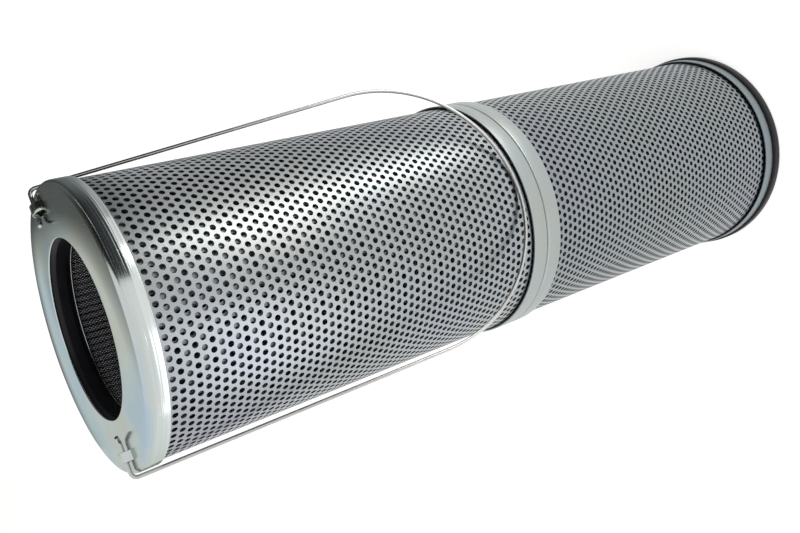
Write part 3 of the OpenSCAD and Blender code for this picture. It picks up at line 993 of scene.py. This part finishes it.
def paintedReflectionCard():
    # curved glowing card beside the element, seen only as its reflection in the bright metal: a painted
    # reflection, not a lamp
    verts = []
    for k in range(card["steps"] + 1):
        angle = card["from"] + (card["to"] - card["from"]) * k / card["steps"]
        x = card["radius"] * math.cos(math.radians(angle))
        y = card["radius"] * math.sin(math.radians(angle))
        raised = card["raisedBy"] * min(1, max(0, (card["raisedTo"] - angle) / card["raisedOver"]))
        verts += [(x, y, card["foot"] + raised), (x, y, card["top"]),
                  (x, min(y, card["roofEdge"]), card["top"])]
    faces = []
    for k in range(card["steps"]):
        a, b = 3 * k, 3 * k + 3
        faces.append((a, b, b + 1, a + 1))
        if verts[b][1] > card["roofEdge"]:
            faces.append((a + 1, b + 1, b + 2, a + 2))
    thing = newStage("paintedReflectionCard", verts, faces, paintedReflectionGlow())
    thing.visible_camera = False
    thing.visible_diffuse = False
    thing.visible_shadow = False
    thing.visible_transmission = False


def whiteWorld():
    # white to the camera, to mirrors and through glass; a softer white as light on the object
    world = bpy.data.worlds.new("studioWorld")
    bpy.context.scene.world = world
    world.use_nodes = True
    tree = world.node_tree
    tree.nodes.clear()
    strength = addNode(tree, "ShaderNodeMapRange", {0: seenRay(tree), 1: 0.0, 2: 1.0,
                                                    3: stage["skyLight"], 4: 1.0})
    glow = addNode(tree, "ShaderNodeBackground", {"Color": (1, 1, 1, 1), "Strength": strength})
    addNode(tree, "ShaderNodeOutputWorld", {"Surface": glow})


lights = {
    # place, target, direction of its length, (length, width), power, colour, what it lights
    "overheadSoftbox": ((0.3, -0.5, 2.2), (0, 0, 0.2), (1, 0, 0), (2.0, 2.0), 22, "#ffffff", "diffuse"),
    # long soft box low in front: the bright band along the upper jacket
    "jacketStrip": ((0.269, 0.205, 0.2175), (0, 0, 0.37), (-0.1335, 0.018, -0.235), (0.29, 0.075), 0.32,
                    "#fffdf8", "glossy"),
    # small box beside it: widens the band near the cap
    "nearGlow": ((0.338, 0.115, 0.265), (0, 0, 0.4), (0, 1, 0), (0.1, 0.09), 0.075, "#fffdf8", "glossy"),
    # broad panel low on the other side: the pale lower side of cap and jackets
    "sidePanel": ((0.4, -0.63, 0.1), (0, 0, 0.3), (0.7, 0.42, 0), (0.95, 0.2), 0.85, "#f2f3ff", "glossy"),
    # thin strip high up, seen as a bright line on the cap's rounded edge
    "edgeStrip": ((0.17, 0.27, 0.6), (0.03, 0.05, 0.485), (-0.8, 0.5, 0), (0.5, 0.01), 0.02, "#ffffff",
                  "glossy"),
}


def axesMatrix(right, up, back):
    return Matrix((right, up, back)).transposed().to_4x4()


def areaLight(name, place, target, along, size, power, colour, lit):
    data = bpy.data.lights.new(name, "AREA")
    data.shape = "RECTANGLE"
    data.size, data.size_y = size
    data.energy = power
    data.color = linearColour(colour)[:3]
    lamp = newObject(name, data)
    back = (Vector(place) - Vector(target)).normalized()
    length = (Vector(along) - back * back.dot(Vector(along))).normalized()
    lamp.matrix_world = axesMatrix(length, back.cross(length), back)
    lamp.location = place
    lamp.visible_camera = False
    lamp.visible_glossy = lit == "glossy"
    lamp.visible_diffuse = lit == "diffuse"


whiteFloor()
paintedReflectionCard()
whiteWorld()
for name, settings in lights.items():
    areaLight(name, *settings)

view = {
    "place": Vector((408.46, -76.23, 588.23)) * mm, "lookAt": Vector((0, -16.87, 303.4)) * mm,
    "pictureUp": Vector((0.308, 0.918, -0.2505)), "lens": 38.386, "sensor": 36, "nearest": 0.01,
}


def photoCamera():
    data = bpy.data.cameras.new("camera")
    data.lens = view["lens"]
    data.sensor_width = view["sensor"]
    data.clip_start = view["nearest"]
    camera = newObject("camera", data)
    ahead = (view["lookAt"] - view["place"]).normalized()
    right = ahead.cross(view["pictureUp"]).normalized()
    up = right.cross(ahead)
    camera.matrix_world = axesMatrix(right, up, -ahead)
    camera.location = view["place"]
    bpy.context.scene.camera = camera


photoCamera()
bpy.context.scene.view_settings.view_transform = "Standard"
print("stage, light and camera set")
